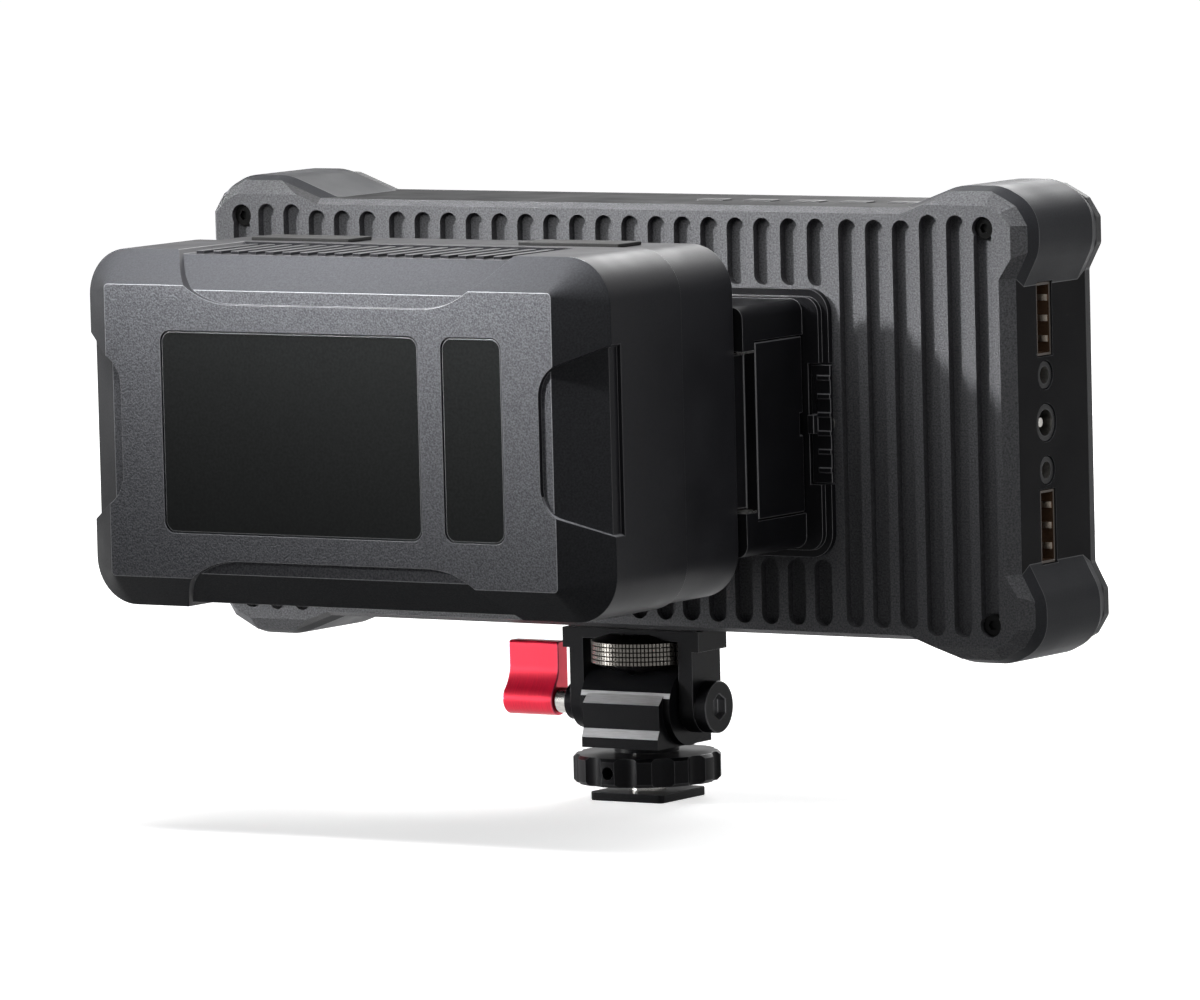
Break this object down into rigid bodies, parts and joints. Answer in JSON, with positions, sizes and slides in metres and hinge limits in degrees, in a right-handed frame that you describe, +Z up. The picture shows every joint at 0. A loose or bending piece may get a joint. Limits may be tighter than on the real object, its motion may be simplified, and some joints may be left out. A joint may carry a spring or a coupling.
{
  "type": "camera field monitor",
  "caption": "Field monitor with a ribbed back, corner bumpers, side ports and a slide-on battery, on a tilting shoe mount with a clamp lever and a lock wheel.",
  "frame": {"origin": "centre of the shoe foot's underside", "axes": "+Z up, +Y from the screen towards the battery, +X towards the tilt lever"},
  "size_m": [0.208, 0.1176, 0.1334],
  "materials": {
    "black_metal": "black anodised, satin",
    "red_metal": "red anodised, satin",
    "steel": "plain steel, satin",
    "black_steel": "black oxide",
    "brass": "plain brass",
    "grey_paint": "fine textured dark grey paint",
    "casing_paint": "satin near-black paint",
    "bezel_plastic": "matte black",
    "screen": "dark glossy glass",
    "panel": "dark panel",
    "backlight": "white plastic",
    "sheet_metal": "plain sheet",
    "board": "green board",
    "chip": "moulded black",
    "socket_shell": "plated steel",
    "jack": "black plastic",
    "key": "matte dark plastic",
    "plate": "black plastic, satin",
    "gold": "gold plated",
    "rubber": "black rubber",
    "battery_face": "slate grey, fine grain",
    "battery_black": "satin black",
    "label": "near-black, smooth",
    "cell": "sleeved cell",
    "tray": "white plastic"
  },
  "bodies": {
    "shoe": {"shoe_foot": "black_metal", "shoe_post": "steel"},
    "lock_wheel": {"lock_wheel": "black_metal"},
    "swivel": {"swivel_base": "black_metal", "grub_screw": "black_steel"},
    "lever": {"tilt_lever": "red_metal"},
    "thumb_wheel": {"thumb_wheel": "steel", "mount_screw": "steel"},
    "battery": {"battery_front_shell": "battery_face", "label_panel_large": "label", "label_panel_narrow": "label", "battery_rear_shell": "battery_black", "shell_screws": "black_steel", "battery_foot": "battery_black", "battery_contacts": "gold", "battery_cells": "cell", "cell_tray_upper": "tray", "cell_tray_lower": "tray", "battery_board": "board", "battery_rests": "rubber"},
    "release_button": {"release_button": "plate"},
    "power_key": {"power_key": "key"},
    "source_key": {"source_key": "key"},
    "menu_key": {"menu_key": "key"},
    "minus_key": {"minus_key": "key"},
    "plus_key": {"plus_key": "key"},
    "monitor": {"tilt_bracket": "black_metal", "bracket_pad": "rubber", "friction_washers": "steel", "tilt_bolt": "black_steel", "lever_spacer": "black_metal", "lever_collar": "steel", "thread_insert": "brass", "rear_cover": "grey_paint", "cover_screws": "black_steel", "casing": "casing_paint", "front_bezel": "bezel_plastic", "screen_glass": "screen", "display_panel": "panel", "backlight": "backlight", "panel_carrier": "sheet_metal", "carrier_screws": "steel", "main_board": "board", "board_screws": "steel", "board_chips": "chip", "video_in_socket": "socket_shell", "video_out_socket": "socket_shell", "headphone_jack": "jack", "service_jack": "jack", "dc_jack": "jack", "key_switches": "chip", "key_board": "board", "battery_plate": "plate", "plate_screws": "black_steel", "guide_clips": "steel", "plate_contacts": "gold", "release_spring": "steel"}
  },
  "joints": [
    {"name": "lock_turn", "type": "hinge", "parent": "shoe", "child": "lock_wheel", "pos_m": [0, 0, 0.0069], "axis": [0, 0, 1], "continuous": true},
    {"name": "pan", "type": "hinge", "parent": "shoe", "child": "swivel", "pos_m": [0, 0, 0.0117], "axis": [0, 0, 1], "continuous": true},
    {"name": "tilt", "type": "hinge", "parent": "swivel", "child": "monitor", "pos_m": [0, 0, 0.0203], "axis": [1, 0, 0], "range_deg": [-55, 55]},
    {"name": "lever_turn", "type": "hinge", "parent": "monitor", "child": "lever", "pos_m": [0.028, 0, 0.0203], "axis": [1, 0, 0], "range_deg": [-100, 100]},
    {"name": "thumb_turn", "type": "hinge", "parent": "monitor", "child": "thumb_wheel", "pos_m": [0, 0, 0.032], "axis": [0, 0, 1], "continuous": true},
    {"name": "battery_slide", "type": "slide", "parent": "monitor", "child": "battery", "axis": [-1, 0, 0], "range_m": [0, 0.075]},
    {"name": "release_press", "type": "slide", "parent": "monitor", "child": "release_button", "axis": [0, -1, 0], "range_m": [0, 0.0012], "stiffness_N_per_m": 800, "springref_m": -0.0005, "deforming": ["release_spring"]},
    {"name": "power_press", "type": "slide", "parent": "monitor", "child": "power_key", "axis": [0, 0, -1], "range_m": [0, 0.0008], "stiffness_N_per_m": 600, "springref_m": -0.0005},
    {"name": "source_press", "type": "slide", "parent": "monitor", "child": "source_key", "axis": [0, 0, -1], "range_m": [0, 0.0008], "stiffness_N_per_m": 600, "springref_m": -0.0005},
    {"name": "menu_press", "type": "slide", "parent": "monitor", "child": "menu_key", "axis": [0, 0, -1], "range_m": [0, 0.0008], "stiffness_N_per_m": 600, "springref_m": -0.0005},
    {"name": "minus_press", "type": "slide", "parent": "monitor", "child": "minus_key", "axis": [0, 0, -1], "range_m": [0, 0.0008], "stiffness_N_per_m": 600, "springref_m": -0.0005},
    {"name": "plus_press", "type": "slide", "parent": "monitor", "child": "plus_key", "axis": [0, 0, -1], "range_m": [0, 0.0008], "stiffness_N_per_m": 600, "springref_m": -0.0005}
  ]
}
